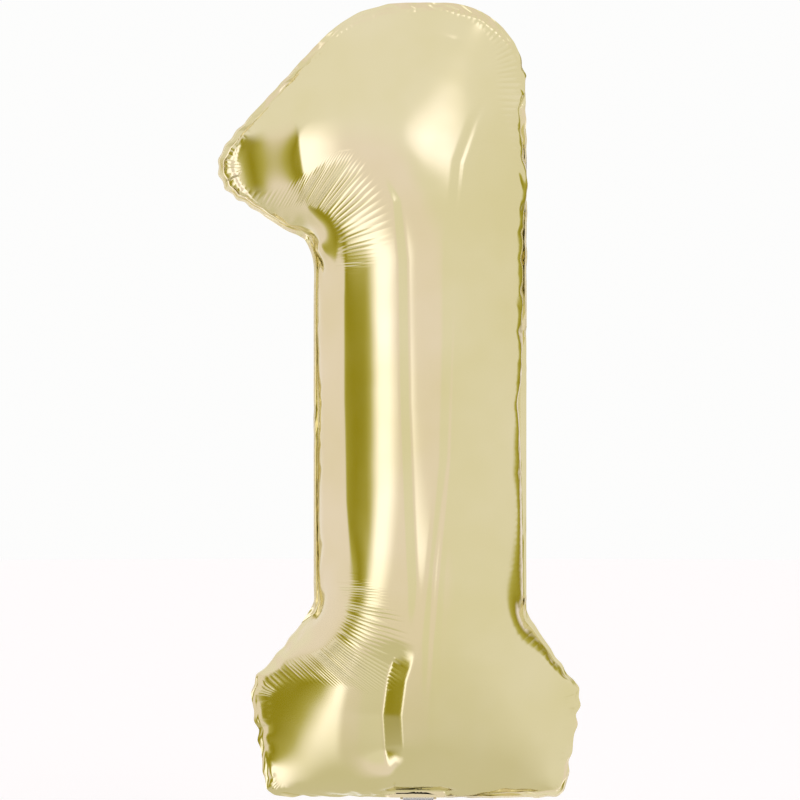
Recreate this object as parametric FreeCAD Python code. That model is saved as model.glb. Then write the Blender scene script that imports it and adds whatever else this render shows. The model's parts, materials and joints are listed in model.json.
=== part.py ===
import FreeCAD, Part
import math
import os

# Foil number balloon, the figure 1, inflated and upright. Millimetres, +Z up, -Y is its front.
# The origin is at the neck, where the ribbon is tied under the bottom seam.

# ---- the figure's outline, at the outer edge of the seam ----------------------------------------
STEM_WIDTH = 222.0       # across the inflated stem
BODY_HEIGHT = 830.0      # bottom seam to top seam
BASE_RIGHT = 172.0       # half widths are measured from the middle of the figure's full width
BASE_LEFT = -139.0
BASE_FLARE = 20.0        # how much further out each side of the base is at its widest
BASE_TIP_Z = 112.0       # height of the two points of the base
STEM_FOOT_Z = 195.0      # height where the base narrows into the stem
STEM_RIGHT = 132.0
HEAD_RADIUS = 86.0       # round shoulder at the top right
HEAD_LEFT = -47.0        # where the top edge turns down into the flag
FLAG_TIP_X = -214.0      # the flag's sharp point, before it is rounded
FLAG_TIP_Z = 650.0
FLAG_ROOT_Z = 575.0      # where the flag's underside meets the stem
TIP_RADIUS = 13.0
FOOT_RADIUS = 40.0       # inner rounds between base and stem

# ---- how full it is -----------------------------------------------------------------------------
HALF_DEPTH = 82.0        # seam plane to the front of the stem, low down
HEAD_HALF_DEPTH = 71.0   # the same under the head
BASE_RISE = 260.0        # height over which the bottom of the pillow fills out
HEAD_FALL = 265.0        # height over which its top closes again

# ---- film and seam ------------------------------------------------------------------------------
FILM = 0.6               # thickness of the panels, thick enough to mesh
SEAM_WIDTH = 7.0         # flat welded band round the edge
WELD = 0.6               # sealant between the two panels
VALVE_FILM = 0.25
VALVE_GAP = WELD - 2.0 * VALVE_FILM

# ---- neck, valve and tail -----------------------------------------------------------------------
NECK_X = 19.0            # middle of the neck, from the middle of the full width
NECK_WIDTH = 38.0
VALVE_WIDTH = 32.0       # the two valve films, which lie between the side welds of the neck
VALVE_REACH = 95.0       # how far the valve goes up inside the body
VALVE_WELD_WIDTH = 4.0
PRINT_HEIGHT = 16.0      # heat-resist print that keeps the valve open across the seam
TAIL_LENGTH = 65.0       # fold to mouth
TAIL_WELD_WIDTH = 3.0
FOLD_DROP = 2.8          # the fold line lies this far under the seam
LEAD_END = 1.4           # the valve films of the body stop this far above the fold line
TAIL_START = 1.7         # the tail's outer films start this far from the fold line
FOLD_ANGLE = 135.0       # at rest the tail is folded back this far from hanging straight down

# ---- smoothness of the pillow's surface ---------------------------------------------------------
ACROSS = 28
SECTIONS = 72
EDGE_STEP = 1.5          # length of the short straights that stand for the outline's edge


def outline_corners():
    """The figure 1 as corner points (x, z, radius), counter-clockwise from the bottom left."""
    stem_left = STEM_RIGHT - STEM_WIDTH
    return [
        (BASE_LEFT, 0.0, TIP_RADIUS),
        (BASE_RIGHT, 0.0, TIP_RADIUS),
        (BASE_RIGHT + BASE_FLARE, BASE_TIP_Z - 4.0, TIP_RADIUS),
        (STEM_RIGHT, STEM_FOOT_Z - 3.0, FOOT_RADIUS),
        (STEM_RIGHT, BODY_HEIGHT, HEAD_RADIUS),
        (HEAD_LEFT, BODY_HEIGHT, 1.4 * HEAD_RADIUS),
        (FLAG_TIP_X, FLAG_TIP_Z, FOOT_RADIUS),
        (stem_left, FLAG_ROOT_Z, 25.0),
        (stem_left, STEM_FOOT_Z + 3.0, FOOT_RADIUS),
        (BASE_LEFT - BASE_FLARE, BASE_TIP_Z + 4.0, TIP_RADIUS),
    ]


def fillet(before, corner, after):
    """Start, middle and end of the arc that rounds a corner, and its centre."""
    x, z, radius = corner
    into = (x - before[0], z - before[1])
    out = (after[0] - x, after[1] - z)
    into_length = math.hypot(*into)
    out_length = math.hypot(*out)
    into = (into[0] / into_length, into[1] / into_length)
    out = (out[0] / out_length, out[1] / out_length)
    turn = math.atan2(into[0] * out[1] - into[1] * out[0], into[0] * out[0] + into[1] * out[1])
    back = radius * math.tan(abs(turn) / 2.0)
    side = math.copysign(1.0, turn)
    start = (x - back * into[0], z - back * into[1])
    end = (x + back * out[0], z + back * out[1])
    centre = (start[0] - side * radius * into[1], start[1] + side * radius * into[0])
    middle = rotate_about(start, centre, turn / 2.0)
    return start, middle, end, centre, turn


def rotate_about(point, centre, angle):
    dx = point[0] - centre[0]
    dz = point[1] - centre[1]
    cosine = math.cos(angle)
    sine = math.sin(angle)
    return (centre[0] + cosine * dx - sine * dz, centre[1] + sine * dx + cosine * dz)


def all_fillets():
    corners = outline_corners()
    count = len(corners)
    return [fillet(corners[i - 1], corners[i], corners[(i + 1) % count]) for i in range(count)]


def outline_wire(y):
    """The outline as straight edges and arcs in the plane at this y."""
    edges = []
    fillets = all_fillets()
    for i, (start, middle, end, _, _) in enumerate(fillets):
        previous_end = fillets[i - 1][2]
        edges.append(Part.LineSegment(place(previous_end, y), place(start, y)).toShape())
        edges.append(Part.Arc(place(start, y), place(middle, y), place(end, y)).toShape())
    return Part.Wire(edges)


def place(point, y):
    return FreeCAD.Vector(point[0], y, point[1])


def edge_points(inset):
    """Points along the outline moved inwards: position plus inset times the inward normal."""
    points = []
    fillets = all_fillets()
    for i, (start, _, end, centre, turn) in enumerate(fillets):
        previous_end = fillets[i - 1][2]
        points += straight_points(previous_end, start, inset)
        points += arc_points(start, centre, turn, inset)
    return points


def straight_points(first, last, inset):
    length = math.hypot(last[0] - first[0], last[1] - first[1])
    along = ((last[0] - first[0]) / length, (last[1] - first[1]) / length)
    count = max(1, int(length / EDGE_STEP))
    points = []
    for step in range(count):
        distance = length * step / count
        x = first[0] + distance * along[0] - inset * along[1]
        z = first[1] + distance * along[1] + inset * along[0]
        points.append((x, z))
    return points


def arc_points(start, centre, turn, inset):
    radius = math.hypot(start[0] - centre[0], start[1] - centre[1])
    count = max(2, int(radius * abs(turn) / EDGE_STEP))
    scale = (radius - math.copysign(inset, turn)) / radius
    points = []
    for step in range(count):
        x, z = rotate_about(start, centre, turn * step / count)
        points.append((centre[0] + scale * (x - centre[0]), centre[1] + scale * (z - centre[1])))
    return points


def width_at(points, z):
    """Left and right edge where a level line crosses the closed loop of points."""
    crossings = []
    for i in range(len(points)):
        x0, z0 = points[i - 1]
        x1, z1 = points[i]
        if (z0 <= z) != (z1 <= z):
            crossings.append(x0 + (x1 - x0) * (z - z0) / (z1 - z0))
    return min(crossings), max(crossings)


def half_depth(z):
    """Distance from the seam plane to the fullest place at this height."""
    share = min(max((z - STEM_FOOT_Z) / (FLAG_ROOT_Z - STEM_FOOT_Z), 0.0), 1.0)
    level = HALF_DEPTH + share * (HEAD_HALF_DEPTH - HALF_DEPTH)
    rise = math.sin(0.5 * math.pi * min(max(z / BASE_RISE, 0.0), 1.0)) ** 0.7
    fall = math.sin(0.5 * math.pi * min(max((BODY_HEIGHT - z) / HEAD_FALL, 0.0), 1.0))
    return level * rise * fall


def dome(inset, y):
    """Half of the inflated figure's skin: a smooth dome that starts from the inset outline.

    A level section at height z runs from left edge to right edge as
        x = middle - half_width cos(t),   y = y0 - depth(z) sin(t)^1.1,   0 <= t <= pi,
    and the sections are the control points of the surface.
    """
    points = edge_points(inset)
    low = min(point[1] for point in points)
    high = max(point[1] for point in points)
    stretch = BODY_HEIGHT / (high - low)
    grid = []
    for i in range(SECTIONS + 1):
        share = 0.5 - 0.5 * math.cos(math.pi * i / SECTIONS)
        z = low + share * (high - low)
        left, right = width_at(points, min(max(z, low + 0.02), high - 0.02))
        depth = half_depth((z - low) * stretch)
        row = []
        for j in range(ACROSS + 1):
            angle = math.pi * j / ACROSS
            x = 0.5 * (left + right) - 0.5 * (right - left) * math.cos(angle)
            row.append(FreeCAD.Vector(x, y - depth * math.sin(angle) ** 1.1, z))
        grid.append(row)
    return smooth_surface(grid)


def smooth_surface(grid):
    """Cubic B-spline surface with this grid of control points; its border stays in their plane."""
    surface = Part.BSplineSurface()
    row_mults, row_knots = clamped_knots(len(grid))
    column_mults, column_knots = clamped_knots(len(grid[0]))
    surface.buildFromPolesMultsKnots(
        grid, row_mults, column_mults, row_knots, column_knots, False, False, 3, 3)
    return surface.toShape()


def clamped_knots(count):
    spans = count - 3
    mults = [4] + [1] * (spans - 1) + [4]
    return mults, [float(i) for i in range(spans + 1)]


def plate(wire, thickness):
    return Part.Face(wire).extrude(FreeCAD.Vector(0.0, thickness, 0.0))


def box(x_range, y_range, z_range):
    size = [high - low for low, high in (x_range, y_range, z_range)]
    corner = FreeCAD.Vector(x_range[0], y_range[0], z_range[0])
    return Part.makeBox(size[0], size[1], size[2], corner)


def front_panel():
    """Flat seam band and dome in one film: outer skin, inner skin, two flat bands and the rim."""
    inner_y = -0.5 * WELD
    outer_y = inner_y - FILM
    outer = dome(SEAM_WIDTH, outer_y)
    inner = dome(SEAM_WIDTH + FILM, inner_y)
    rim = outline_wire(outer_y).extrude(FreeCAD.Vector(0.0, FILM, 0.0))
    bands = [flat_band(outline_wire(outer_y), outer), flat_band(outline_wire(inner_y), inner)]
    shell = Part.makeShell([outer, inner] + bands + rim.Faces)
    shell.sewShape()
    solid = Part.makeSolid(shell)
    if solid.Volume < 0.0:
        solid.reverse()
    return solid


def flat_band(wire, skin):
    """Flat face between the outline and the border of a dome in the same plane."""
    border = Part.Wire(Part.__sortEdges__(skin.Edges))
    return Part.Face(wire).cut(Part.Face(border)).Faces[0]


def perimeter_weld():
    """Band of sealant between the panels, open where the neck passes through it."""
    wire = outline_wire(-0.5 * WELD)
    band = plate(wire, WELD)
    middle = Part.Face(wire).makeOffset2D(-SEAM_WIDTH).extrude(FreeCAD.Vector(0.0, WELD, 0.0))
    reach = (-SEAM_WIDTH, 2.0 * SEAM_WIDTH)
    opening = box(neck_span(NECK_WIDTH), (-WELD, WELD), reach)
    return band.cut(middle).cut(opening)


def neck_span(width):
    return (NECK_X - 0.5 * width, NECK_X + 0.5 * width)


def neck_sides(outer_width, strip):
    """The two strips, left and right, just inside this width."""
    left, right = neck_span(outer_width)
    return (left, left + strip), (right - strip, right)


# ---- where the layers lie, front to back --------------------------------------------------------
VALVE_FRONT = (-0.5 * WELD, -0.5 * VALVE_GAP)
VALVE_MIDDLE = (-0.5 * VALVE_GAP, 0.5 * VALVE_GAP)
VALVE_BACK = (0.5 * VALVE_GAP, 0.5 * WELD)
SEAM_MIDDLE = (-0.5 * WELD, 0.5 * WELD)
TAIL_FRONT = (-0.5 * WELD - FILM, -0.5 * WELD)
TAIL_BACK = (0.5 * WELD, 0.5 * WELD + FILM)


def body_pieces():
    """Everything that stays put: the two panels, the weld and the valve inside."""
    front = front_panel()
    back = front.mirror(FreeCAD.Vector(0.0, 0.0, 0.0), FreeCAD.Vector(0.0, 1.0, 0.0))
    valve_z = (LEAD_END - FOLD_DROP, VALVE_REACH)
    left_neck, right_neck = neck_sides(NECK_WIDTH, TAIL_WELD_WIDTH)
    left_weld, right_weld = neck_sides(VALVE_WIDTH, VALVE_WELD_WIDTH)
    print_x = (left_weld[1], right_weld[0])
    print_z = (LEAD_END - FOLD_DROP, LEAD_END - FOLD_DROP + PRINT_HEIGHT)
    seam_z = (0.0, SEAM_WIDTH)
    return {
        "front_foil_panel": front,
        "back_foil_panel": back,
        "perimeter_weld": perimeter_weld(),
        "neck_left_weld": box(left_neck, SEAM_MIDDLE, seam_z),
        "neck_right_weld": box(right_neck, SEAM_MIDDLE, seam_z),
        "valve_front_film": box(neck_span(VALVE_WIDTH), VALVE_FRONT, valve_z),
        "valve_back_film": box(neck_span(VALVE_WIDTH), VALVE_BACK, valve_z),
        "valve_left_weld": box(left_weld, VALVE_MIDDLE, valve_z),
        "valve_right_weld": box(right_weld, VALVE_MIDDLE, valve_z),
        "valve_release_print": box(print_x, VALVE_MIDDLE, print_z),
    }


def tail_pieces():
    """The tail hanging straight down from the fold line; fold_back turns it up behind the base."""
    fold_z = -FOLD_DROP
    full = (fold_z - TAIL_LENGTH, fold_z - TAIL_START)
    lead = (fold_z - TAIL_LENGTH, fold_z)
    left_weld, right_weld = neck_sides(NECK_WIDTH, TAIL_WELD_WIDTH)
    return {
        "tail_front_film": box(neck_span(NECK_WIDTH), TAIL_FRONT, full),
        "tail_back_film": box(neck_span(NECK_WIDTH), TAIL_BACK, full),
        "tail_valve_front_film": box(neck_span(VALVE_WIDTH), VALVE_FRONT, lead),
        "tail_valve_back_film": box(neck_span(VALVE_WIDTH), VALVE_BACK, lead),
        "tail_left_weld": box(left_weld, SEAM_MIDDLE, full),
        "tail_right_weld": box(right_weld, SEAM_MIDDLE, full),
    }


def fold_back(shape):
    folded = shape.copy()
    axis_point = FreeCAD.Vector(0.0, 0.0, -FOLD_DROP)
    folded.rotate(axis_point, FreeCAD.Vector(1.0, 0.0, 0.0), FOLD_ANGLE)
    return folded


def write(node, shape):
    shape.translate(FreeCAD.Vector(-NECK_X, 0.0, 0.0))
    solids = shape.Solids
    if len(solids) != 1 or not shape.isValid():
        raise ValueError(node + " is not one valid solid")
    solids[0].exportStep("parts/" + node + ".step")
    bounds = solids[0].BoundBox
    print(node, round(solids[0].Volume / 1000.0, 3), "cm3",
          [round(value, 2) for value in (bounds.XMin, bounds.XMax, bounds.YMin,
                                         bounds.YMax, bounds.ZMin, bounds.ZMax)])


os.makedirs("parts", exist_ok=True)
for node, shape in body_pieces().items():
    write(node, shape)
for node, shape in tail_pieces().items():
    write(node, fold_back(shape))
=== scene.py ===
# %% [markdown]
# # A foil balloon shaped as the figure 1
# The real balloon is two flat sheets of metallised film, cut to the same outline and heat-welded
# together along their edges. Nothing in it is curved until gas is blown in: the stem rounds up, the
# seam is pulled inwards, and the film that is now too long for its edge crumples into pleats. A
# modeller could sculpt that, but the pleats follow so strictly from the cutting pattern that it is
# easier, and truer, to cut the same flat pattern and let a cloth simulation blow it up.
#
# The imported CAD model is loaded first. It gives the outline, the depth and the two moving bodies.

# %% Load the frame
import bpy
import json
import numpy as np
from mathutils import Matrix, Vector
from mathutils.geometry import delaunay_2d_cdt


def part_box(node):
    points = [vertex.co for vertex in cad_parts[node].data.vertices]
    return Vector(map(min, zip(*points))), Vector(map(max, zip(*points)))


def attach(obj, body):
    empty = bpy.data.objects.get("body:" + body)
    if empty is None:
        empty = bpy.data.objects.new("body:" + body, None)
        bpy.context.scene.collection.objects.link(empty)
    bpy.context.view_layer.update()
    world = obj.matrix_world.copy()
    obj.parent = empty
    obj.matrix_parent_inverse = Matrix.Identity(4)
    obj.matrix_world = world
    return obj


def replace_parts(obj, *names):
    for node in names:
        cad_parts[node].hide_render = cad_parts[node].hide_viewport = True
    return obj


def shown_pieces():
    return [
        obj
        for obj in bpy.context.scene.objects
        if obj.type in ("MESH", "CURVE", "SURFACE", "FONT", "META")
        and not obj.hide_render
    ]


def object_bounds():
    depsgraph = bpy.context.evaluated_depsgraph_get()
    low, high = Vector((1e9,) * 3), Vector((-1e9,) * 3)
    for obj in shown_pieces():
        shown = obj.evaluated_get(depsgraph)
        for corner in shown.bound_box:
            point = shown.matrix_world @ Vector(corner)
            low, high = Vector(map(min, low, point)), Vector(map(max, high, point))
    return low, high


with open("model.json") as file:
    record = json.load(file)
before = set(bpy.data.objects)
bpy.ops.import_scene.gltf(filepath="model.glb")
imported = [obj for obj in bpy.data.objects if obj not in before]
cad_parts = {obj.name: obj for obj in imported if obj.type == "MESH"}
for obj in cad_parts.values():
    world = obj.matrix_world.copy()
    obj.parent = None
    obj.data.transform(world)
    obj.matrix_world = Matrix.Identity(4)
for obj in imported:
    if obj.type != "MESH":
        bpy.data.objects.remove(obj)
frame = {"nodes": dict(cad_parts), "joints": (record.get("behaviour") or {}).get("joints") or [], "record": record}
cad_low, cad_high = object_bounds()
print("CAD box", [round(v, 4) for v in cad_low], [round(v, 4) for v in cad_high])

# %% [markdown]
# ## The cutting pattern
# A flat sheet shrinks across its width when it is inflated, because the film has to go round a
# tube, so the pattern is wider and a little taller than the finished figure. It is written as a few
# corners with the radius of their round, in metres, counter-clockwise from the bottom left.

# %% Pattern corners and seam
PATTERN = np.array([
    (-0.160, -0.012, 0.018), (0.159, -0.012, 0.018), (0.189, 0.102, 0.020), (0.161, 0.192, 0.056),
    (0.153, 0.420, 0.300), (0.149, 0.580, 0.300), (0.134, 0.730, 0.060), (0.133, 0.840, 0.098),
    (-0.055, 0.840, 0.105), (-0.262, 0.676, 0.038), (-0.153, 0.598, 0.026),
    (-0.151, 0.400, 0.400), (-0.155, 0.200, 0.056), (-0.187, 0.110, 0.020),
])
SEAM_WIDTH = 0.007
CELL = 0.010
print("pattern", len(PATTERN), "corners, seam", SEAM_WIDTH, "m, first cell", CELL, "m")


# %% Round the corners
def rounded_loop(corners, step):
    """Closed loop of points about `step` apart along a polygon whose corners are arcs.

    An arc of radius r touches both sides of its corner at r / tan(half the corner's angle), and its
    centre lies r / sin(half) along the corner's bisector.
    """
    spot, radius = corners[:, :2], corners[:, 2]
    towards_last = np.roll(spot, 1, axis=0) - spot
    towards_next = np.roll(spot, -1, axis=0) - spot
    towards_last /= np.linalg.norm(towards_last, axis=1)[:, None]
    towards_next /= np.linalg.norm(towards_next, axis=1)[:, None]
    half = 0.5 * np.arccos(np.clip((towards_last * towards_next).sum(axis=1), -1.0, 1.0))
    bisector = towards_last + towards_next
    bisector /= np.linalg.norm(bisector, axis=1)[:, None]
    centre = spot + bisector * (radius / np.sin(half))[:, None]
    start = spot + towards_last * (radius / np.tan(half))[:, None] - centre
    end = spot + towards_next * (radius / np.tan(half))[:, None] - centre
    first = np.arctan2(start[:, 1], start[:, 0])
    turn = (np.arctan2(end[:, 1], end[:, 0]) - first + np.pi) % (2.0 * np.pi) - np.pi
    angle = first[:, None] + turn[:, None] * np.linspace(0.0, 1.0, 24)
    spokes = np.stack([np.cos(angle), np.sin(angle)], axis=2)
    arcs = centre[:, None] + radius[:, None, None] * spokes
    path = arcs.reshape(-1, 2)
    path = np.vstack([path, path[:1]])
    run = np.append(0.0, np.cumsum(np.linalg.norm(np.diff(path, axis=0), axis=1)))
    count = int(round(run[-1] / step))
    stops = np.arange(count) * run[-1] / count
    return np.column_stack([np.interp(stops, run, path[:, 0]), np.interp(stops, run, path[:, 1])])


def inward(loop, distance):
    """The loop moved to its left, which is inwards for a counter-clockwise one."""
    tangent = np.roll(loop, -1, axis=0) - np.roll(loop, 1, axis=0)
    normal = np.column_stack([-tangent[:, 1], tangent[:, 0]])
    return loop + distance * normal / np.linalg.norm(normal, axis=1)[:, None]


cut_edge = rounded_loop(PATTERN, CELL)
seam_middle = inward(cut_edge, 0.5 * SEAM_WIDTH)
weld_line = inward(cut_edge, SEAM_WIDTH)
print("cut edge", len(cut_edge), "points")


# %% [markdown]
# ## A net of triangles
# Film buckles the same way in every direction, so the net must not prefer one: equal triangles
# fill the sheet and only the last row adapts itself to the weld line.

# %% Fill the pattern with triangles
def inside_loop(loop, points):
    """True where a level ray from the point crosses the loop an odd number of times."""
    after = np.roll(loop, -1, axis=0)
    rise = after[:, 1] - loop[:, 1]
    rise = np.where(rise == 0.0, 1e-12, rise)
    spans = (loop[:, 1] > points[:, 1:]) != (after[:, 1] > points[:, 1:])
    crossing = loop[:, 0] + (after[:, 0] - loop[:, 0]) * (points[:, 1:] - loop[:, 1]) / rise
    return (spans & (points[:, :1] < crossing)).sum(axis=1) % 2 == 1


def nearest_on_loop(loop, points):
    """Distance from each point to the loop, the place it meets it, and how far along that is."""
    after = np.roll(loop, -1, axis=0)
    along = after - loop
    length = np.linalg.norm(along, axis=1)
    run = np.append(0.0, np.cumsum(length))[:-1]
    distance, place, position = [], [], []
    for some in np.array_split(points, max(1, len(points) // 4000)):
        offset = some[:, None] - loop
        share = np.clip((offset * along).sum(axis=2) / length ** 2, 0.0, 1.0)
        foot = loop + share[:, :, None] * along
        gap = np.linalg.norm(some[:, None] - foot, axis=2)
        best = gap.argmin(axis=1)
        rows = np.arange(len(some))
        distance.append(gap[rows, best])
        place.append(foot[rows, best])
        position.append(run[best] + share[rows, best] * length[best])
    return np.concatenate(distance), np.concatenate(place), np.concatenate(position)


def triangle_net(border, cell):
    """Points and triangles: the border plus an even triangular lattice inside it."""
    low, high = border.min(axis=0), border.max(axis=0)
    rows = np.arange(low[1], high[1], cell * np.sqrt(0.75))
    x, z = np.meshgrid(np.arange(low[0], high[0], cell), rows)
    x += (np.arange(len(rows)) % 2)[:, None] * 0.5 * cell
    lattice = np.column_stack([x.ravel(), z.ravel()])
    lattice = lattice[inside_loop(border, lattice)]
    lattice = lattice[nearest_on_loop(border, lattice)[0] > 0.55 * cell]
    points = np.vstack([border, lattice])
    loop = [list(range(len(border)))]
    made = delaunay_2d_cdt([Vector(p) for p in points], [], loop, 1, 1e-9)
    spots = np.array([tuple(v) for v in made[0]])
    triangles = np.array(made[2])
    side = spots[triangles[:, 1:]] - spots[triangles[:, :1]]
    turned = side[:, 0, 0] * side[:, 1, 1] < side[:, 0, 1] * side[:, 1, 0]
    triangles[turned] = triangles[turned][:, ::-1]
    return spots, triangles


sheet, sheet_triangles = triangle_net(weld_line, CELL)
print("one sheet", len(sheet), "points", len(sheet_triangles), "triangles")

# %% [markdown]
# ## Two sheets, one seam
# Front and back share the points of the weld line, as the welded films do. Outside it, the flat
# seam band is one strip of two rows. Only the sheets feel the gas. Each starts a hair's breadth
# from the seam plane, with a seeded unevenness that decides where the first wrinkles go.

# %% Join front, back and seam band
RIM = len(weld_line)
unevenness = np.random.default_rng(3).uniform(0.0006, 0.0012, (2, len(sheet)))
front_start = np.column_stack([sheet[:, 0], -unevenness[0], sheet[:, 1]])
back_start = np.column_stack([sheet[:, 0], unevenness[1], sheet[:, 1]])[RIM:]
front_start[:RIM, 1] = 0.0


def in_seam_plane(points):
    """Points (x, z) as (x, 0, z)."""
    return np.column_stack([points[:, 0], np.zeros(len(points)), points[:, 1]])


start = np.vstack([front_start, back_start, in_seam_plane(seam_middle), in_seam_plane(cut_edge)])
flat = start.copy()
flat[:, 1] = 0.0
back_number = np.append(np.arange(RIM), len(sheet) + np.arange(len(sheet) - RIM))
middle_number = len(front_start) + len(back_start) + np.arange(RIM)
edge_number = middle_number + RIM


def band(inner, outer):
    """Two triangles for each step along two matching rings of point numbers."""
    inner_next, outer_next = np.roll(inner, -1), np.roll(outer, -1)
    return np.vstack([np.column_stack([inner, outer, outer_next]),
                      np.column_stack([inner, outer_next, inner_next])])


front_faces = sheet_triangles
back_faces = back_number[sheet_triangles][:, ::-1]
seam_faces = np.vstack([band(np.arange(RIM), middle_number),
                        band(middle_number, edge_number)])
faces = np.vstack([front_faces, back_faces, seam_faces])
side_of_face = np.repeat([0, 1, 2], [len(front_faces), len(back_faces), len(seam_faces)])
pressed = np.arange(len(start)) < middle_number[0]
print("flat balloon", len(start), "points", len(faces), "triangles")


# %% [markdown]
# ## Blowing it up
# Blender's Cloth takes its lengths from a shape key with the flat pattern, and uniform pressure is
# the gas. The film hardly stretches and hardly resists bending, which is what makes sharp pleats.
# A coarse net finds the fullness quickly. It is then split into four times as many triangles and
# blown up again for a few frames, and the finer net adds the finer pleats.

# %% The simulation
def inflate(rest, now, triangles, gas, frames, mass, bending):
    """Positions after `frames` steps of cloth that keeps the lengths of `rest`."""
    mesh = bpy.data.meshes.new("film")
    mesh.from_pydata(now, [], triangles)
    film = bpy.data.objects.new("film", mesh)
    bpy.context.scene.collection.objects.link(film)
    film.shape_key_add(name="now")
    pattern = film.shape_key_add(name="pattern")
    pattern.data.foreach_set("co", rest.ravel())
    pattern.value = 0.0
    group = film.vertex_groups.new(name="gas")
    group.add(np.flatnonzero(gas).tolist(), 1.0, "REPLACE")
    cloth = film.modifiers.new("film", "CLOTH")
    settings = cloth.settings
    settings.quality = 6
    settings.mass = mass
    settings.tension_stiffness = 60.0
    settings.compression_stiffness = 40.0
    settings.shear_stiffness = 40.0
    settings.bending_stiffness = bending
    settings.air_damping = 2.0
    settings.rest_shape_key = pattern
    settings.use_pressure = True
    settings.uniform_pressure_force = 5.0
    settings.vertex_group_pressure = "gas"
    settings.effector_weights.gravity = 0.0
    cloth.collision_settings.use_collision = False
    cloth.point_cache.frame_start = 1
    cloth.point_cache.frame_end = frames + 1
    for number in range(1, frames + 1):
        bpy.context.scene.frame_set(number)
    settled = film.evaluated_get(bpy.context.evaluated_depsgraph_get())
    place = np.empty(len(now) * 3)
    settled.data.vertices.foreach_get("co", place)
    bpy.data.objects.remove(film)
    bpy.data.meshes.remove(mesh)
    bpy.context.scene.frame_set(1)
    return place.reshape(-1, 3)


inflated = inflate(flat, start, faces, pressed, 20, 0.02, 0.05)
print("first inflation", np.ptp(inflated, axis=0).round(3))


# %% Split every triangle in four
def edge_table(triangles):
    """Unique edges, the edge number of each triangle's three sides, and their use count."""
    sides = np.sort(np.vstack([triangles[:, [0, 1]], triangles[:, [1, 2]], triangles[:, [2, 0]]]),
                    axis=1)
    edges, number, uses = np.unique(sides, axis=0, return_inverse=True, return_counts=True)
    return edges, number.reshape(3, -1), uses


def split_triangles(triangles, number, first_new):
    """Four triangles for each one; the middle of edge i is point first_new + i."""
    ab, bc, ca = number + first_new
    a, b, c = triangles.T
    return np.vstack([np.column_stack(corner) for corner in
                      ((a, ab, ca), (ab, b, bc), (ca, bc, c), (ab, bc, ca))])


edges, number, _ = edge_table(faces)
fine_flat = np.vstack([flat, flat[edges].mean(axis=1)])
fine_start = np.vstack([inflated, inflated[edges].mean(axis=1)])
fine_pressed = np.append(pressed, pressed[edges].all(axis=1))
fine_faces = split_triangles(faces, number, len(flat))
fine_side = np.tile(side_of_face, 4)
fine = inflate(fine_flat, fine_start, fine_faces, fine_pressed, 10, 0.005, 0.02)
print("second inflation", len(fine), "points", np.ptp(fine, axis=0).round(3))

# %% [markdown]
# ## Fitting it to the CAD outline
# The simulated outline comes within a few millimetres of the CAD one. The rest is taken out by
# sliding every point of the cut edge to the nearest place on the CAD outline, but only with the
# long waves of that movement, so that the scallops which the pleats pull into the seam stay. Points
# inside follow the cut edge near them, weighted by one over the distance cubed.

# %% The CAD outline
def merged(mesh):
    """A CAD node's loose triangles as shared points (x, y, z) and triangles."""
    mesh.calc_loop_triangles()
    place = np.empty(len(mesh.vertices) * 3)
    mesh.vertices.foreach_get("co", place)
    corners = np.empty(len(mesh.loop_triangles) * 3, dtype=np.int64)
    mesh.loop_triangles.foreach_get("vertices", corners)
    points, number = np.unique(place.reshape(-1, 3).round(6), axis=0, return_inverse=True)
    triangles = number.ravel()[corners].reshape(-1, 3)
    three_apart = np.ptp(np.sort(triangles, axis=1), axis=1) > 0
    return points, triangles[three_apart]


def border_loops(triangles):
    """Loops of point numbers along the edges that only one triangle uses."""
    sides = np.vstack([triangles[:, [0, 1]], triangles[:, [1, 2]], triangles[:, [2, 0]]])
    _, number, uses = edge_table(triangles)
    open_sides = sides[uses[number.ravel()] == 1]
    follows = dict(open_sides.tolist())
    loops = []
    while follows:
        loop = [next(iter(follows))]
        while loop[-1] in follows:
            loop.append(follows.pop(loop[-1]))
        loops.append(np.array(loop[:-1]))
    return loops


def flat_band_outline(node):
    """The outer edge of the flat seam band of a panel, as (x, z) points in order."""
    points, triangles = merged(frame["nodes"][node].data)
    band_y = -np.abs(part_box("perimeter_weld")[0][1])
    lying = (np.abs(points[:, 1] - band_y) < 2e-5)[triangles].all(axis=1)
    loops = border_loops(triangles[lying])
    longest = max(loops, key=lambda loop: np.ptp(points[loop], axis=0).sum())
    return points[longest][:, [0, 2]]


outline = flat_band_outline("front_foil_panel")
print("CAD outline", len(outline), "points", np.ptp(outline, axis=0).round(4))


# %% Slide the cut edge onto it
def long_waves(values, spacing, blur):
    """A closed row of values with everything much shorter than `blur` metres filtered out."""
    frequency = np.fft.fftfreq(len(values), spacing)[:, None]
    keep = np.exp(-2.0 * (np.pi * blur * frequency) ** 2)
    return np.real(np.fft.ifft(np.fft.fft(values, axis=0) * keep, axis=0))


def follow_edge(points, edge, shift):
    """Shift of points inside: the edge's shifts weighted by 1 / (distance^2 + 0.01^2)^1.5."""
    moved = []
    for some in np.array_split(points, max(1, len(points) // 4000)):
        gap = ((some[:, None] - edge) ** 2).sum(axis=2)
        weight = 1.0 / (gap + 0.01 ** 2) ** 1.5
        moved.append(weight @ shift / weight.sum(axis=1)[:, None])
    return np.vstack(moved)


edge_ring = edge_number
for _ in range(3):
    ring = fine[edge_ring][:, [0, 2]]
    _, place, _ = nearest_on_loop(outline, ring)
    shift = long_waves(place - ring, CELL, 0.014)
    fine[:, [0, 2]] += follow_edge(fine[:, [0, 2]], ring, shift)

# %% [markdown]
# ## Scallops
# Between two pleats the cut edge bulges and at a pleat it is drawn in. The bulges are about 17 mm
# long and deepest at the flag's tip and round the base. The edge moves inwards by
# depth * (1 - |sin(pi * run / pitch)|), and the film next to it follows.

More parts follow.
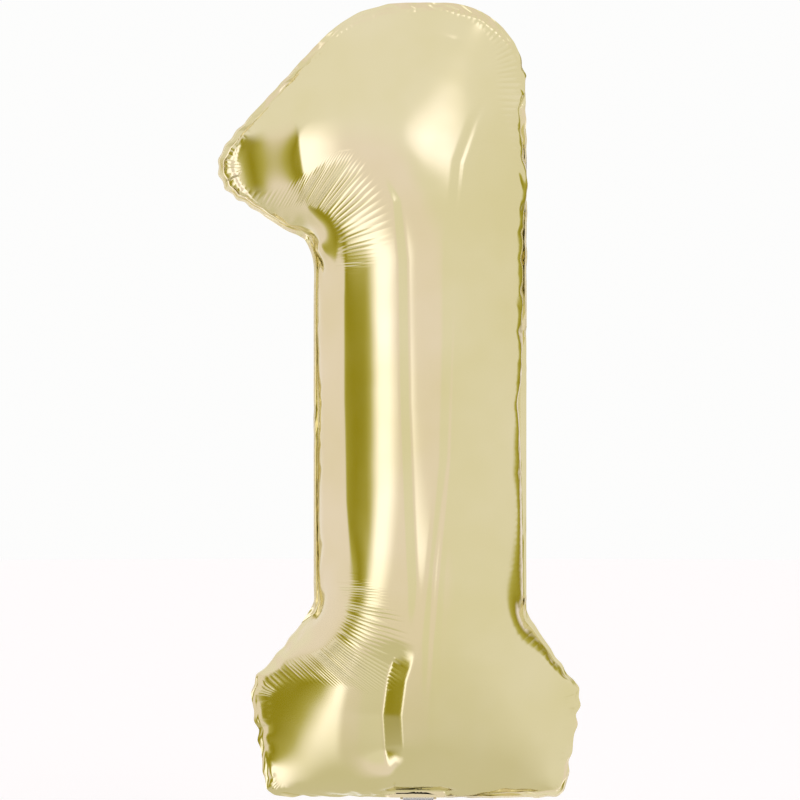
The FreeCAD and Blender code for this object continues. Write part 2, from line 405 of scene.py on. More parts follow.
# %% Draw the edge in at the pleats
SCALLOP = 0.0170
SCALLOPED = {
    "flag tip": ((-0.205, 0.650), 0.060, 0.0042),
    "head left": ((-0.110, 0.745), 0.045, 0.0012),
    "base left": ((-0.150, 0.080), 0.090, 0.0052),
    "base right": ((0.170, 0.080), 0.085, 0.0052),
    "shoulder": ((0.130, 0.745), 0.060, 0.0024),
    "bottom": ((0.020, -0.030), 0.060, 0.0010),
}
SCALLOP_REACH = 0.012
ring = fine[edge_ring][:, [0, 2]]
ring_step = np.linalg.norm(np.roll(ring, -1, axis=0) - ring, axis=1)
ring_run = np.append(0.0, np.cumsum(ring_step))[:-1]
pitch = ring_step.sum() / round(ring_step.sum() / SCALLOP)
drawn = np.zeros(len(ring))
for place, size, amount in SCALLOPED.values():
    drawn += amount * np.exp(-((ring - place) ** 2).sum(axis=1) / size ** 2)
drawn *= 1.0 - np.abs(np.sin(np.pi * ring_run / pitch))
shift = inward(ring, 1.0) - ring
near = nearest_on_loop(ring, fine[:, [0, 2]])
fine[:, [0, 2]] += (np.exp(-(near[0] / SCALLOP_REACH) ** 2)
                    * np.interp(near[2], ring_run, drawn))[:, None] * follow_edge(
                        fine[:, [0, 2]], ring, shift)
print("scallops", int(ring_step.sum() / pitch), "of", round(pitch * 1000, 1), "mm")

# %% Depth
depth = np.array([cad_low[1], cad_high[1]])
fullest = np.array([fine[:, 1].min(), fine[:, 1].max()])
fine[:, 1] *= np.where(fine[:, 1] < 0.0, depth[0] / fullest[0], depth[1] / fullest[1])
miss = nearest_on_loop(outline, fine[edge_ring][:, [0, 2]])[0]
print("edge misses the CAD outline by", round(miss.mean() * 1000, 2), "mm on average")

# %% [markdown]
# ## Calming the middle
# The film is smooth where the gas stretches it both ways, and the net's own dents there are finer
# than real film would make. The middle of each panel is averaged with its neighbours again and
# again, and the margin along the seam is left alone.

# %% Average the middle
def calmed(points, triangles, weight, times):
    """Each point moves by `weight` to the mean of its neighbours, over and over."""
    edges, _, _ = edge_table(triangles)
    joined = np.vstack([edges, edges[:, ::-1]])
    neighbours = np.bincount(joined[:, 0], minlength=len(points))
    for _ in range(times):
        total = np.column_stack([np.bincount(joined[:, 0], points[joined[:, 1], axis], len(points))
                                 for axis in range(3)])
        points = points + weight[:, None] * (total / neighbours[:, None] - points)
    return points


def smooth_step(value, low, high):
    """0 below low, 1 above high and s^2 (3 - 2 s) between, s being the share of the way."""
    share = np.clip((value - low) / (high - low), 0.0, 1.0)
    return share * share * (3.0 - 2.0 * share)


from_edge = nearest_on_loop(outline, fine[:, [0, 2]])[0]
calm = calmed(fine, fine_faces, 0.6 * smooth_step(from_edge, 0.008, 0.026), 110)
print("calmed by", round(np.abs(calm - fine).max() * 1000, 1), "mm at most")

# %% [markdown]
# ## Rounding the net
# Loop's rule puts four smaller triangles in the place of each and rounds the surface between them.
# A new point on an edge is 3/8 of its two ends and 1/8 of the two corners across it; an old point
# moves a little towards the mean of its neighbours. On a border only the border counts.

# %% Loop subdivision
def loop_rounded(points, triangles):
    """Loop's rule once: the rounded points, and four triangles for each one."""
    edges, number, uses = edge_table(triangles)
    across = np.zeros((len(edges), 3))
    for side, corner in enumerate((2, 0, 1)):
        for axis in range(3):
            across[:, axis] += np.bincount(number[side], points[triangles[:, corner], axis],
                                           len(edges))
    ends = points[edges].sum(axis=1)
    inner = (uses == 2)[:, None]
    new = np.where(inner, 0.375 * ends + 0.125 * across, 0.5 * ends)
    joined = np.vstack([edges, edges[:, ::-1]])
    at_border = np.isin(np.arange(len(points)), edges[uses == 1])
    along_border = np.tile(uses == 1, 2)
    counted = joined[~at_border[joined[:, 0]] | along_border]
    count = np.bincount(counted[:, 0], minlength=len(points)).astype(float)
    total = np.column_stack([np.bincount(counted[:, 0], points[counted[:, 1], axis], len(points))
                             for axis in range(3)])
    beta = (0.625 - (0.375 + 0.25 * np.cos(2.0 * np.pi / count)) ** 2) / count
    beta = np.where(at_border, 0.125, beta)
    old = points + beta[:, None] * (total - count[:, None] * points)
    return np.vstack([old, new]), split_triangles(triangles, number, len(points))


def panel_net(points, kept):
    """Only the kept triangles, with their points numbered afresh, rounded once."""
    used, number = np.unique(fine_faces[kept], return_inverse=True)
    return loop_rounded(points[used], number.reshape(-1, 3))


front_points, front_triangles = panel_net(calm, fine_side != 1)
back_points, back_triangles = panel_net(calm, fine_side != 0)
seam_part = np.tile(fine_side[fine_side != 0] == 2, 4)
back_triangles[seam_part] = back_triangles[seam_part][:, ::-1]
print("front", len(front_triangles), "triangles, back", len(back_triangles))

# %% [markdown]
# ## The long folds of the front
# A foil figure is folded in a packet before it is blown up, and its longest folds never quite pull
# out. Each is a line where the film dips (or, with a negative depth, stands up). Seen from above
# along the line, it comes back on the right over a short straight wall, depth * (1 - gap / wall),
# and on the left over a longer easy slope, depth * (1 - gap / slope)^2. It fades out at both ends.

# %% Fold lines: depth, wall, slope, path
FOLDS = {
    "roll edge": (0.0050, 0.0070, 0.0600, [(-0.040, 0.665), (-0.018, 0.620), (-0.012, 0.560),
                                          (-0.010, 0.415), (-0.006, 0.310), (-0.002, 0.225),
                                          (-0.004, 0.165)]),
    "shoulder": (-0.0020, 0.0100, 0.0300, [(0.012, 0.012), (0.010, 0.100), (0.010, 0.164),
                                          (0.016, 0.247), (0.028, 0.352), (0.033, 0.488),
                                          (0.034, 0.582), (0.042, 0.660), (0.058, 0.705),
                                          (0.072, 0.735)]),
    "roll back": (-0.0020, 0.0080, 0.0200, [(-0.074, 0.600), (-0.077, 0.520), (-0.077, 0.415),
                                           (-0.075, 0.310), (-0.068, 0.225)]),
    "lens": (0.0100, 0.0200, 0.0500, [(-0.030, 0.024), (-0.036, 0.055), (-0.038, 0.090),
                                      (-0.033, 0.130), (-0.020, 0.170)]),
    "crease": (0.0020, 0.0050, 0.0080, [(0.010, 0.060), (0.009, 0.120), (0.010, 0.164),
                                        (0.016, 0.247), (0.028, 0.352), (0.033, 0.488),
                                        (0.034, 0.582), (0.042, 0.660), (0.058, 0.705),
                                        (0.078, 0.745)]),
    "crown": (0.0020, 0.0040, 0.0080, [(0.002, 0.826), (0.002, 0.812), (0.002, 0.798)]),
    "crown left": (0.0020, 0.0040, 0.0080, [(-0.028, 0.782), (-0.014, 0.792), (0.004, 0.799)]),
    "crown right": (0.0020, 0.0040, 0.0080, [(0.000, 0.799), (0.020, 0.796), (0.046, 0.787)]),
    "flag": (-0.0100, 0.0800, 0.2000, [(-0.150, 0.800), (-0.126, 0.700), (-0.118, 0.640),
                                       (-0.106, 0.550)]),
}


LOOK_AHEAD = 0.004
CREST_ROUND = 0.0008
FADE_SHARE = 0.2


def folded(points, folds):
    """Points pressed in by every fold line, towards the seam plane."""
    points = points.copy()
    dip = np.zeros(len(points))
    for depth, wall, slope, corners in folds.values():
        path = np.array(corners)
        there_and_back = np.vstack([path, path[-2:0:-1]])
        length = np.linalg.norm(np.diff(path, axis=0), axis=1).sum()
        gap, foot, run = nearest_on_loop(there_and_back, points[:, [0, 2]])
        run = np.minimum(run, 2.0 * length - run)
        legs = np.append(0.0, np.cumsum(np.linalg.norm(np.diff(path, axis=0), axis=1)))
        ahead = np.column_stack([np.interp(run + LOOK_AHEAD, legs, path[:, axis])
                                 - np.interp(run - LOOK_AHEAD, legs, path[:, axis])
                                 for axis in (0, 1)])
        away = points[:, [0, 2]] - foot
        on_right = ahead[:, 1] * away[:, 0] > ahead[:, 0] * away[:, 1]
        gap = np.sqrt(gap ** 2 + CREST_ROUND ** 2) - CREST_ROUND
        fade = FADE_SHARE * length
        ends = smooth_step(run, 0.0, fade) * smooth_step(length - run, 0.0, fade)
        shape = np.where(on_right, np.clip(1.0 - gap / wall, 0.0, 1.0),
                         np.clip(1.0 - gap / slope, 0.0, 1.0) ** 2)
        dip += depth * ends * shape
    points[:, 1] += dip * smooth_step(-points[:, 1], 0.004, 0.030)
    return points


front_points = folded(front_points, FOLDS)
print("fold lines", len(FOLDS))

# %% [markdown]
# ## Room for the tail
# The filling tail can be folded up against either side of the base, and the film gives way to it:
# in a patch as wide as the tail, the film stays under the plane that the folded tail lies in. That
# plane rises from the hinge, and the patch opens out to the sides and above the tail's mouth.

# %% Press the film in where the tail folds up
mount = {m["name"]: m for m in frame["record"]["mounts"]}
hinge = np.array(frame["joints"][0]["pos_m"])
mouth = np.array(mount["filling_mouth"]["pos_m"])
tail_length = np.linalg.norm(mouth - hinge)
tail_way = (mouth - hinge) / tail_length
tail_out = np.cross(tail_way, [1.0, 0.0, 0.0])
tail_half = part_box("tail_front_film")[1][0]
TAIL_ROOM = 0.0028
OPENS_SIDEWAYS, OPENS_UPWARDS = 1.4, 2.5
ROUND_SHARE = 0.15


def under_tail(points, side):
    """Soft minimum of the depth a and the plane b.

    It is (a + b - sqrt((a - b)^2 + (ROUND_SHARE * lift)^2)) / 2.
    """
    points = points.copy()
    lift = np.maximum(points[:, 2] - hinge[2], 0.0)
    plane = (lift * tail_way[1] / tail_way[2] - TAIL_ROOM
             + OPENS_SIDEWAYS * np.maximum(np.abs(points[:, 0]) - tail_half - 0.003, 0.0)
             + OPENS_UPWARDS * np.maximum(points[:, 2] - mouth[2] - 0.004, 0.0))
    depth = side * points[:, 1]
    soft = 0.5 * (depth + plane - np.hypot(depth - plane, ROUND_SHARE * lift))
    points[:, 1] = side * np.where(depth > 0.0, np.maximum(soft, 0.0), depth)
    return points


front_points = under_tail(front_points, -1.0)
back_points = under_tail(back_points, 1.0)
print("tail", round(tail_length * 1000, 1), "mm long,", round(tail_half * 2000, 1), "mm wide")

# %% [markdown]
# ## Where the fine pleats run
# The finest pleats are finer than any net, so the finish draws them. They stand square to the seam:
# two numbers at every point of the film say where. The first is the distance along the seam to the
# nearest place on it, counted in pleats, which are closer together round the inner corners. The
# second is how deep the pleats are there, and it dies away with the distance from the seam.

# %% Pleat numbers for a panel
PLEAT = 0.0068
BLUR = 0.0015
EDGE_REACH, EDGE_DEPTH = 0.014, 0.35
FAN_REACH, FAN_CLEAR, FAN_CLOSER = 0.08, 0.030, 3.2
CORNERS = {
    "under the flag": ((-0.118, 0.585), 0.040, 0.112, 1.0),
    "left of the foot": ((-0.115, 0.190), 0.046, 0.120, 1.0),
    "right of the foot": ((0.118, 0.190), 0.036, 0.060, 0.5),
    "flag tip": ((-0.205, 0.655), 0.030, 0.026, 0.8),
    "base left": ((-0.172, 0.115), 0.040, 0.026, 0.8),
    "base right": ((0.170, 0.110), 0.045, 0.024, 0.6),
    "shoulder": ((0.110, 0.745), 0.060, 0.034, 0.6),
}


def smooth_run(points, seam, steps, gap, run):
    """Mean run of the seam points near the nearest one.

    Each is weighted by exp(-(its gap - the nearest gap) / BLUR). Taking only the nearest point
    would make the run jump from corner to corner of the outline.
    """
    round_trip = steps[-1]
    smooth = []
    for part in np.array_split(np.arange(len(points)), max(1, len(points) // 2000)):
        far = np.linalg.norm(points[part][:, None] - seam, axis=2) - gap[part][:, None]
        ahead = (steps - run[part][:, None] + 0.5 * round_trip) % round_trip - 0.5 * round_trip
        weight = np.exp(-far / BLUR) * (np.abs(ahead) < 0.05)
        smooth.append(run[part] + (weight * ahead).sum(axis=1) / weight.sum(axis=1).clip(1e-9))
    return np.concatenate(smooth) % round_trip


def pleat_numbers(points):
    """How many pleats along the seam, and how deep, for points of one panel."""
    ring_run = np.append(0.0, np.cumsum(np.linalg.norm(np.diff(outline, axis=0), axis=1)))
    steps = np.linspace(0.0, ring_run[-1], 1200)
    seam = np.column_stack([np.interp(steps, ring_run, outline[:, axis]) for axis in (0, 1)])
    tightness = np.full(len(steps), EDGE_DEPTH)
    reach = np.full(len(steps), EDGE_REACH)
    clear = np.zeros(len(steps))
    closeness = np.full(len(steps), 1.0)
    for place, size, far, strength in CORNERS.values():
        near = np.exp(-((seam - place) ** 2).sum(axis=1) / size ** 2)
        tightness = np.maximum(tightness, strength * near)
        reach = reach + (far - EDGE_REACH) * near
        clear = clear + FAN_CLEAR * near * (far > FAN_REACH)
        closeness = closeness + FAN_CLOSER * near * (far > FAN_REACH)
    counted = np.append(0.0, np.cumsum(np.diff(steps) * closeness[1:])) / PLEAT
    gap, _, run = nearest_on_loop(outline, points[:, [0, 2]])
    run = smooth_run(points[:, [0, 2]], seam, steps, gap, run)
    share = gap / np.interp(run, steps, reach)
    fade = 1.0 - smooth_step(share, 0.62, 1.0)
    start = SEAM_WIDTH + np.interp(run, steps, clear)
    inside = smooth_step(gap, start - 0.004, start + 0.004)
    depth = np.interp(run, steps, tightness) * fade * inside
    return np.interp(run, steps, counted), depth


front_pleats = pleat_numbers(front_points)
back_pleats = pleat_numbers(back_points)
print("pleats round the seam", int(front_pleats[0].max()))

# %% [markdown]
# ## Making the two panels
# Each film is moved half a millimetre off the seam plane, so that two thicknesses show at the
# edge. Near the neck the seam lies quite flat, because the valve films pass through it there.

# %% Mesh helpers
FILM_OFFSET = 0.00045


def make_piece(name, points, triangles, body, smooth=True):
    """A mesh object at the origin that rides with a CAD body."""
    mesh = bpy.data.meshes.new(name)
    mesh.from_pydata(points, [], triangles)
    mesh.shade_smooth() if smooth else mesh.shade_flat()
    piece = bpy.data.objects.new(name, mesh)
    bpy.context.scene.collection.objects.link(piece)
    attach(piece, body)
    return piece


def store(piece, **values):
    """Named numbers for each point of a piece, which a finish can read."""
    for name, numbers in values.items():
        layer = piece.data.attributes.new(name, "FLOAT", "POINT")
        layer.data.foreach_set("value", np.asarray(numbers, dtype=np.float32))


def flat_at_neck(points, side):
    """The panel off the seam plane, and pressed flat and level beside the neck."""
    points = points.copy()
    _, neck_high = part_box("neck_right_weld")
    near = (1.0 - smooth_step(np.abs(points[:, 0]), 1.3 * neck_high[0], 2.6 * neck_high[0]))
    near *= 1.0 - smooth_step(points[:, 2], 1.1 * neck_high[2], 2.4 * neck_high[2])
    low = near > 0.0
    strip = np.abs(points[:, 0]) < 2.6 * neck_high[0]
    bins = np.round(points[:, 0] / 0.003).astype(int)
    lowest = np.full(np.ptp(bins) + 1, np.inf)
    np.minimum.at(lowest, (bins - bins.min())[strip], points[strip, 2])
    points[low, 2] -= (near * lowest[bins - bins.min()].clip(-0.01, 0.01))[low]
    lying = 1.0 - smooth_step(points[:, 2], 0.9 * neck_high[2], 2.2 * neck_high[2])
    points[:, 1] = points[:, 1] * (1.0 - near * lying)
    points[:, 1] += side * FILM_OFFSET
    return points


# %% Front and back panel
front = make_piece("front_film", flat_at_neck(front_points, -1.0), front_triangles,
                   "balloon")
back = make_piece("back_film", flat_at_neck(back_points, 1.0), back_triangles,
                  "balloon")
for panel, (count, deep), node in ((front, front_pleats, "front_foil_panel"),
                                   (back, back_pleats, "back_foil_panel")):
    store(panel, pleat=count, pleat_depth=deep)
    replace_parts(panel, node)
    print(panel.name, len(panel.data.polygons), "faces")

# %% [markdown]
# ## The weld
# Seen edge-on, the seam is a thin cream line of sealant between two bright films. It is a strip
# with a square section that follows the cut edge, and it stops on both sides of the neck.

# %% Sealant along the cut edge
def edge_ring_of(points, triangles):
    """The panel's border points in order, counter-clockwise seen from the front."""
    loop = max(border_loops(triangles), key=len)
    return points[loop]


def strip_along(path, closed, half_width, half_thickness, inset):
    """A square bar along a path of (x, y, z) points in the seam plane, as points and triangles."""
    before, after = np.roll(path, 1, axis=0), np.roll(path, -1, axis=0)
    if not closed:
        before[0], after[-1] = path[0], path[-1]
    tangent = (after - before)[:, [0, 2]]
    normal = np.column_stack([-tangent[:, 1], tangent[:, 0]])
    normal /= np.linalg.norm(normal, axis=1)[:, None]
    corners = []
    for across, thick in ((0, -1), (2, -1), (2, 1), (0, 1)):
        corner = path.copy()
        corner[:, [0, 2]] += normal * (inset + across * half_width)
        corner[:, 1] += thick * half_thickness
        corners.append(corner)
    count = len(path)
    ring = np.arange(count)
    steps = ring if closed else ring[:-1]
    quads = []
    for side in range(4):
        one, other = side * count, ((side + 1) % 4) * count
        quads.append(np.column_stack([one + steps, other + steps, other + (steps + 1) % count,
                                      one + (steps + 1) % count]))
    quads = np.vstack(quads).tolist()
    if not closed:
        quads += [[0, 3 * count, 2 * count, count],
                  [count - 1, 2 * count - 1, 3 * count - 1, 4 * count - 1]]
    return np.vstack(corners), quads


front_ring = edge_ring_of(flat_at_neck(front_points, 0.0), front_triangles)
neck_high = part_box("neck_right_weld")[1]
at_neck = (np.abs(front_ring[:, 0]) < neck_high[0]) & (front_ring[:, 2] < neck_high[2])
first = np.flatnonzero(at_neck & ~np.roll(at_neck, -1))[0]
open_ring = np.roll(front_ring, -(first + 1), axis=0)
open_ring = open_ring[~np.roll(at_neck, -(first + 1))]
bar_points, bar_faces = strip_along(open_ring, False, 0.0008, 0.0004, 0.0002)
sealant = make_piece("seam_sealant", bar_points, bar_faces, "balloon", False)
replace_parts(sealant, "perimeter_weld")
print("sealant", len(open_ring), "steps")

# %% [markdown]
# ## The tail
# The tail is two more layers of the same film with the valve's inlet between them. It was folded
# up behind the base when the balloon was packed, so it is creased across and a little curled, and
# its mouth is cut square. Its films are grids over (across, along), laid along the CAD tail's own
# direction.

# %% Tail films
def tail_film(name, side):
    """A grid laid along the tail: place = hinge + across + along * way + lift * out.

    The lift is half the stack, a ripple that dies out at the side welds, and a crossways crease.
    """
    across, along = np.meshgrid(np.linspace(-1.0, 1.0, 49), np.linspace(0.030, 1.0, 81))
    ripple = np.sin(9.0 * across + 3.0 * along) * np.sin(21.0 * along + 2.0 * across)
    crease = np.exp(-np.abs(along - 0.52) / 0.02)
    lift = 0.00062 + 0.00016 * (1.0 - across ** 6) * (1.0 + ripple) - 0.00018 * crease
    points = (hinge + tail_half * across[:, :, None] * np.array([1.0, 0.0, 0.0])
              + tail_length * along[:, :, None] * tail_way + side * lift[:, :, None] * tail_out)
    rows, columns = across.shape
    number = np.arange(rows * columns).reshape(rows, columns)
    quads = np.stack([number[:-1, :-1], number[:-1, 1:], number[1:, 1:], number[1:, :-1]], axis=2)
    quads = quads.reshape(-1, 4)
    piece = make_piece(name, points.reshape(-1, 3), quads if side < 0 else quads[:, ::-1],
                       "tail")
    store(piece, pleat=(along * 9.0).ravel(), pleat_depth=(0.12 * np.abs(across) ** 8).ravel())
    thickness = piece.modifiers.new("film", "SOLIDIFY")
    thickness.thickness = 0.00012
    return piece


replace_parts(tail_film("tail_front", 1.0), "tail_front_film")
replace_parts(tail_film("tail_back", -1.0), "tail_back_film")
print("tail films 49 by 81 points")

# %% [markdown]
# ## The foil's finish
# The film carries a breath of aluminium under a champagne lacquer: a tinted mirror with a faint
# haze. So the shader is fully metallic with a low roughness that wanders a little. The bump has two
# layers: the slight unevenness of stretched film, and over it the pleats along the seam. The pleats
# are drawn from the two numbers stored on the film, so they follow the seam wherever it goes.

# %% Node helpers
def new_material(name):
    """A material with its node tree and its shader."""
    material = bpy.data.materials.new(name)
    material.use_nodes = True
    tree = material.node_tree
    return material, tree, tree.nodes["Principled BSDF"]


def maths(tree, operation, first, second=None, third=None):
    """A Math node; each input is a socket or a number."""
    node = tree.nodes.new("ShaderNodeMath")
    node.operation = operation
    for socket, value in zip(node.inputs, (first, second, third)):
        if isinstance(value, bpy.types.NodeSocket):
            tree.links.new(value, socket)
        elif value is not None:
            socket.default_value = value
    return node.outputs[0]


def attribute(tree, name):
    """The numbers stored on the mesh under this name."""
    node = tree.nodes.new("ShaderNodeAttribute")
    node.attribute_name = name
    return node.outputs["Fac"]


def noise(tree, scale, detail=2.0, vector=None):
    """Smooth noise from 0 to 1; the scale is in lumps for each metre."""
    node = tree.nodes.new("ShaderNodeTexNoise")
    node.inputs["Scale"].default_value = scale
    node.inputs["Detail"].default_value = detail
    if vector is None:
        vector = tree.nodes.new("ShaderNodeTexCoord").outputs["Object"]
    tree.links.new(vector, node.inputs["Vector"])
    return node.outputs["Fac"]


def colour_ramp(tree, value, stops):
    """Colours blended between (position, colour) stops."""
    node = tree.nodes.new("ShaderNodeValToRGB")
    while len(node.color_ramp.elements) < len(stops):
        node.color_ramp.elements.new(1.0)
    for element, (position, colour) in zip(node.color_ramp.elements, stops):
        element.position = position
        element.color = (*colour, 1.0)
    tree.links.new(value, node.inputs["Fac"])
    return node.outputs["Color"]


def ranged(tree, value, low, high):
    """A value from 0 to 1, spread from low to high."""
    node = tree.nodes.new("ShaderNodeMapRange")
    node.inputs["To Min"].default_value = low
    node.inputs["To Max"].default_value = high
    tree.links.new(value, node.inputs["Value"])
    return node.outputs["Result"]


def bump(tree, height, below=None):
    """A bump whose height is in metres, on top of another."""
    node = tree.nodes.new("ShaderNodeBump")
    node.inputs["Distance"].default_value = 1.0
    tree.links.new(height, node.inputs["Height"])
    if below is not None:
        tree.links.new(below, node.inputs["Normal"])
    return node.outputs["Normal"]


# %% Champagne foil
PLEAT_HEIGHT = 0.00085


def pleat_height(tree):
    """depth * height * (a different share for each pleat) * |sin(pi * wandering count)|."""
    wander = maths(tree, "MULTIPLY_ADD", noise(tree, 9.0, 2.0), 0.7, -0.35)
    count = maths(tree, "ADD", attribute(tree, "pleat"), wander)
    ridge = maths(tree, "ABSOLUTE", maths(tree, "SINE", maths(tree, "MULTIPLY", count, np.pi)))
    chance = tree.nodes.new("ShaderNodeTexWhiteNoise")
    chance.noise_dimensions = "1D"
    tree.links.new(maths(tree, "FLOOR", count), chance.inputs["W"])
    share = maths(tree, "MULTIPLY_ADD", chance.outputs["Value"], 0.75, 0.25)
    height = maths(tree, "MULTIPLY", maths(tree, "MULTIPLY", ridge, share), PLEAT_HEIGHT)
    return maths(tree, "MULTIPLY", height, attribute(tree, "pleat_depth"))


def champagne_foil():
    """The tinted mirror with its haze and its two layers of bump."""
    material, tree, shader = new_material("champagne_foil")
    tint = colour_ramp(tree, noise(tree, 7.0, 3.0),
                       [(0.35, (0.80, 0.75, 0.45)), (0.65, (0.85, 0.80, 0.55))])
    tree.links.new(tint, shader.inputs["Base Color"])
    shader.inputs["Metallic"].default_value = 1.0
    shader.inputs["Coat Weight"].default_value = 0.25
    shader.inputs["Coat Roughness"].default_value = 0.08
    tree.links.new(ranged(tree, noise(tree, 30.0, 4.0), 0.09, 0.19), shader.inputs["Roughness"])
    uneven = bump(tree, maths(tree, "MULTIPLY", noise(tree, 18.0, 1.0), 0.00030))
    tree.links.new(bump(tree, pleat_height(tree), uneven), shader.inputs["Normal"])
    return material


foil = champagne_foil()
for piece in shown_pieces():
    if piece.name in ("front_film", "back_film", "tail_front", "tail_back"):
        piece.data.materials.clear()
        piece.data.materials.append(foil)
print("foil on", foil.users, "pieces")

# %% [markdown]
# ## Sealant, valve film and print
# The hidden pieces are real too: cream sealant, the clear soft valve film, and the chalky print
# that keeps the valve from welding itself shut.

# %% The other finishes
def plastic(name, colour, other, roughness, grain, height):
    """Two shades of one plastic, mottled, with a fine relief of this height in metres."""
    material, tree, shader = new_material(name)
    tint = colour_ramp(tree, noise(tree, grain, 3.0), [(0.3, colour), (0.7, other)])
    tree.links.new(tint, shader.inputs["Base Color"])
    tree.links.new(ranged(tree, noise(tree, 3.0 * grain), roughness - 0.08, roughness + 0.08),
                   shader.inputs["Roughness"])
    relief = maths(tree, "MULTIPLY", noise(tree, 2.0 * grain, 3.0), height)
    tree.links.new(bump(tree, relief), shader.inputs["Normal"])
    return material, shader


weld_finish, _ = plastic("sealant", (0.74, 0.66, 0.42), (0.84, 0.78, 0.58), 0.35, 400.0, 0.00005)
valve_finish, valve_shader = plastic("valve_film", (0.86, 0.88, 0.89), (0.93, 0.94, 0.95), 0.28,
                                     150.0, 0.00008)
valve_shader.inputs["Transmission Weight"].default_value = 0.35
print_finish, _ = plastic("release_print", (0.88, 0.88, 0.84), (0.94, 0.94, 0.91), 0.7, 900.0,
                          0.00002)
FINISH_OF_SLOT = {"seam_sealant": weld_finish, "valve_film": valve_finish,
                  "release_print": print_finish}
for subpart in frame["record"]["subparts"]:
    finish = FINISH_OF_SLOT.get(subpart["material_slot"])
    if finish is not None:
        node = frame["nodes"][subpart["node"]]
        node.data.materials.clear()
        node.data.materials.append(finish)
sealant.data.materials.append(weld_finish)
print("finishes", len(FINISH_OF_SLOT) + 1)

# %% [markdown]
# ## Studio
# A mirror shows its surroundings, so the room matters as much as the balloon. It is a white tent
# with a few openings, written as a colour for each angle round the balloon, in degrees from
# straight ahead and positive to the right. From left to right these are a pinkish wall, a dark
# olive gap, a bright white card, more pinkish wall ahead, a cream wall and a narrow gap far to the
# right. Higher up it closes to a plain ceiling, lower down to a plain ground, and a soft round glow
# stands for the softbox. The floor and the lamp are left out of the mirror.

# %% Tent
WHITE, PINK, CREAM = (1.5, 1.4, 1.5), (0.9, 0.8, 0.8), (0.85, 0.8, 0.7)
PALE, OLIVE, DEEP = (1.0, 1.0, 1.0), (0.5, 0.45, 0.1), (0.3, 0.25, 0.0)
CEILING, GROUND = (0.9, 0.85, 0.8), (0.7, 0.65, 0.5)
CARDS = [(-180, PALE), (-130, PINK), (-80, PINK), (-70, OLIVE), (-60, DEEP), (-50, OLIVE),
         (-40, WHITE), (-30, WHITE), (-20, PINK), (0, PINK), (10, CREAM), (110, CREAM),
         (120, OLIVE), (140, DEEP), (150, PINK), (180, PALE)]
BOX_WAY = Vector((1.0, -3.0, 2.0)).normalized()
BACKDROP = (0.98, 0.98, 0.975)
BLACK, FULL = (0.0, 0.0, 0.0), (1.0, 1.0, 1.0)


def mixed(tree, factor, first, second):
    """A colour mix; each colour is a socket or a triple."""
    node = tree.nodes.new("ShaderNodeMix")
    node.data_type = "RGBA"
    tree.links.new(factor, node.inputs["Factor"])
    for socket, colour in ((node.inputs[6], first), (node.inputs[7], second)):
        if isinstance(colour, bpy.types.NodeSocket):
            tree.links.new(colour, socket)
        else:
            socket.default_value = (*colour, 1.0)
    return node.outputs[2]


def tent():
    """The room: walls by angle, a ceiling, a ground and the glow, and a plain backdrop."""
    world = bpy.data.worlds.new("tent")
    world.use_nodes = True
    tree = world.node_tree
    direction = tree.nodes.new("ShaderNodeSeparateXYZ")
    tree.links.new(tree.nodes.new("ShaderNodeTexCoord").outputs["Generated"], direction.inputs[0])
    x, y, z = direction.outputs
    angle = maths(tree, "ARCTAN2", x, maths(tree, "MULTIPLY", y, -1.0))
    share = maths(tree, "MULTIPLY_ADD", angle, 0.5 / np.pi, 0.5)
    walls = colour_ramp(tree, share, [(0.5 + degrees / 360.0, card) for degrees, card in CARDS])
    height = maths(tree, "MULTIPLY_ADD", z, 0.5, 0.5)
    up = colour_ramp(tree, height, [(0.7, BLACK), (0.8, FULL)])
    down = colour_ramp(tree, height, [(0.15, FULL), (0.3, BLACK)])
    room = mixed(tree, down, mixed(tree, up, walls, CEILING), GROUND)
    towards = tree.nodes.new("ShaderNodeVectorMath")
    towards.operation = "DOT_PRODUCT"
    towards.inputs[1].default_value = BOX_WAY
    tree.links.new(direction.inputs[0].links[0].from_socket, towards.inputs[0])
    glow = colour_ramp(tree, towards.outputs["Value"], [(0.985, BLACK), (1.0, FULL)])
    room = mixed(tree, glow, room, WHITE)
    backdrop = mixed(tree, tree.nodes.new("ShaderNodeLightPath").outputs["Is Camera Ray"],
                     room, BACKDROP)
    tree.links.new(backdrop, tree.nodes["Background"].inputs["Color"])
    return world


bpy.context.scene.world = tent()
bpy.context.scene.view_settings.view_transform = "Standard"
print("tent with", len(CARDS), "cards")

# %% Floor and softbox
balloon_low, balloon_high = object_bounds()
centre = 0.5 * (np.array(balloon_low) + np.array(balloon_high))
FLOOR_BELOW = 0.12
FLOOR_RINGS, FLOOR_SPOKES = 12, 96
LAMP_AWAY = 3.0


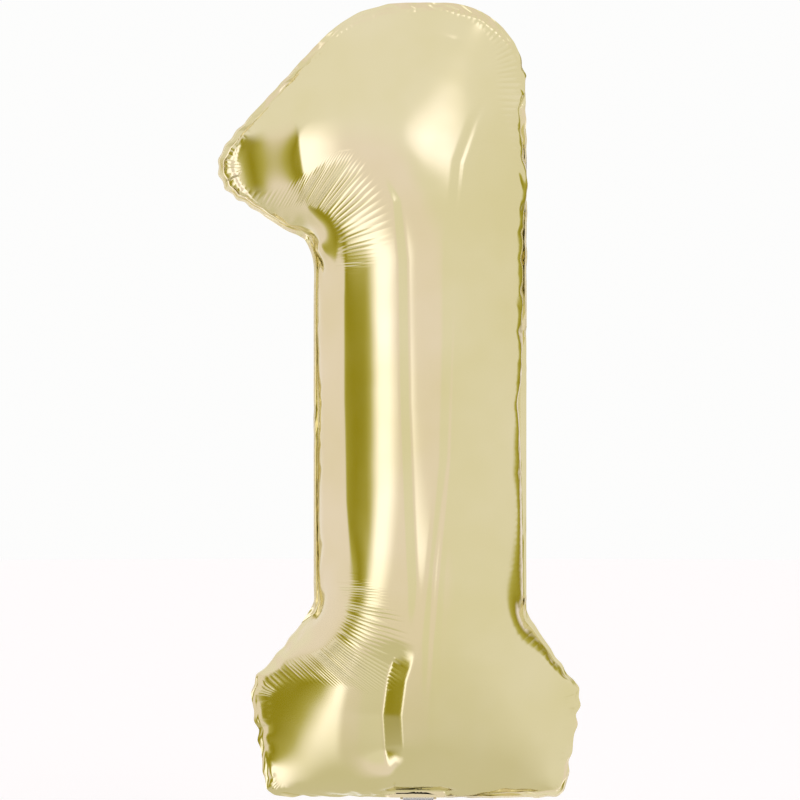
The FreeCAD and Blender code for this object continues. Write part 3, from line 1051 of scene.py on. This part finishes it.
def floor_sheet():
    """A wide disc: rings of points at growing radii, closed at the middle."""
    height = balloon_low[2] - FLOOR_BELOW
    angle = np.linspace(0.0, 2.0 * np.pi, FLOOR_SPOKES, endpoint=False)
    radius = np.geomspace(0.2, 9.0, FLOOR_RINGS)[:, None]
    rings = np.stack([radius * np.cos(angle), radius * np.sin(angle),
                      np.full((FLOOR_RINGS, FLOOR_SPOKES), height)], axis=2).reshape(-1, 3)
    points = np.vstack([[[0.0, 0.0, height]], rings])
    ring = 1 + np.arange(FLOOR_RINGS * FLOOR_SPOKES).reshape(FLOOR_RINGS, FLOOR_SPOKES)
    after = np.roll(ring, -1, axis=1)
    quads = np.stack([ring[:-1], ring[1:], after[1:], after[:-1]], axis=2).reshape(-1, 4)
    middle = np.column_stack([np.zeros(FLOOR_SPOKES, dtype=int), ring[0], after[0]])
    mesh = bpy.data.meshes.new("floor")
    mesh.from_pydata(points, [], quads.tolist() + middle.tolist())
    floor = bpy.data.objects.new("floor", mesh)
    bpy.context.scene.collection.objects.link(floor)
    return floor


floor = floor_sheet()
paper, _, paper_shader = new_material("white_paper")
paper_shader.inputs["Base Color"].default_value = (0.72, 0.73, 0.79, 1.0)
paper_shader.inputs["Roughness"].default_value = 0.9
paper_shader.inputs["Emission Color"].default_value = (1.0, 1.0, 1.0, 1.0)
paper_shader.inputs["Emission Strength"].default_value = 0.34
floor.data.materials.append(paper)
floor.visible_glossy = False

softbox = bpy.data.lights.new("softbox", "AREA")
softbox.shape = "RECTANGLE"
softbox.size, softbox.size_y = 0.80, 0.60
softbox.energy = 6.0
softbox.color = (1.0, 0.97, 0.92)
lamp = bpy.data.objects.new("softbox", softbox)
lamp.location = Vector(centre) + LAMP_AWAY * BOX_WAY
lamp.visible_glossy = False
lamp.rotation_euler = (Vector(centre) - lamp.location).to_track_quat("-Z", "Y").to_euler()
bpy.context.scene.collection.objects.link(lamp)
print("floor at", round(balloon_low[2] - FLOOR_BELOW, 3))

# %% [markdown]
# ## Camera
# A long lens from four metres away, level with the middle of the figure, keeps its edges straight.

# %% Long lens
VIEW_WIDTH = 0.8352
VIEW_DISTANCE = 4.0
camera_data = bpy.data.cameras.new("camera")
camera_data.sensor_width = 36.0
camera_data.lens = camera_data.sensor_width * VIEW_DISTANCE / VIEW_WIDTH
camera = bpy.data.objects.new("camera", camera_data)
camera.location = (0.5 * (cad_low[0] + cad_high[0]), -VIEW_DISTANCE, 0.5 * cad_high[2])
camera.rotation_euler = (0.5 * np.pi, 0.0, 0.0)
bpy.context.scene.collection.objects.link(camera)
bpy.context.scene.camera = camera
print("lens", round(camera_data.lens), "mm")
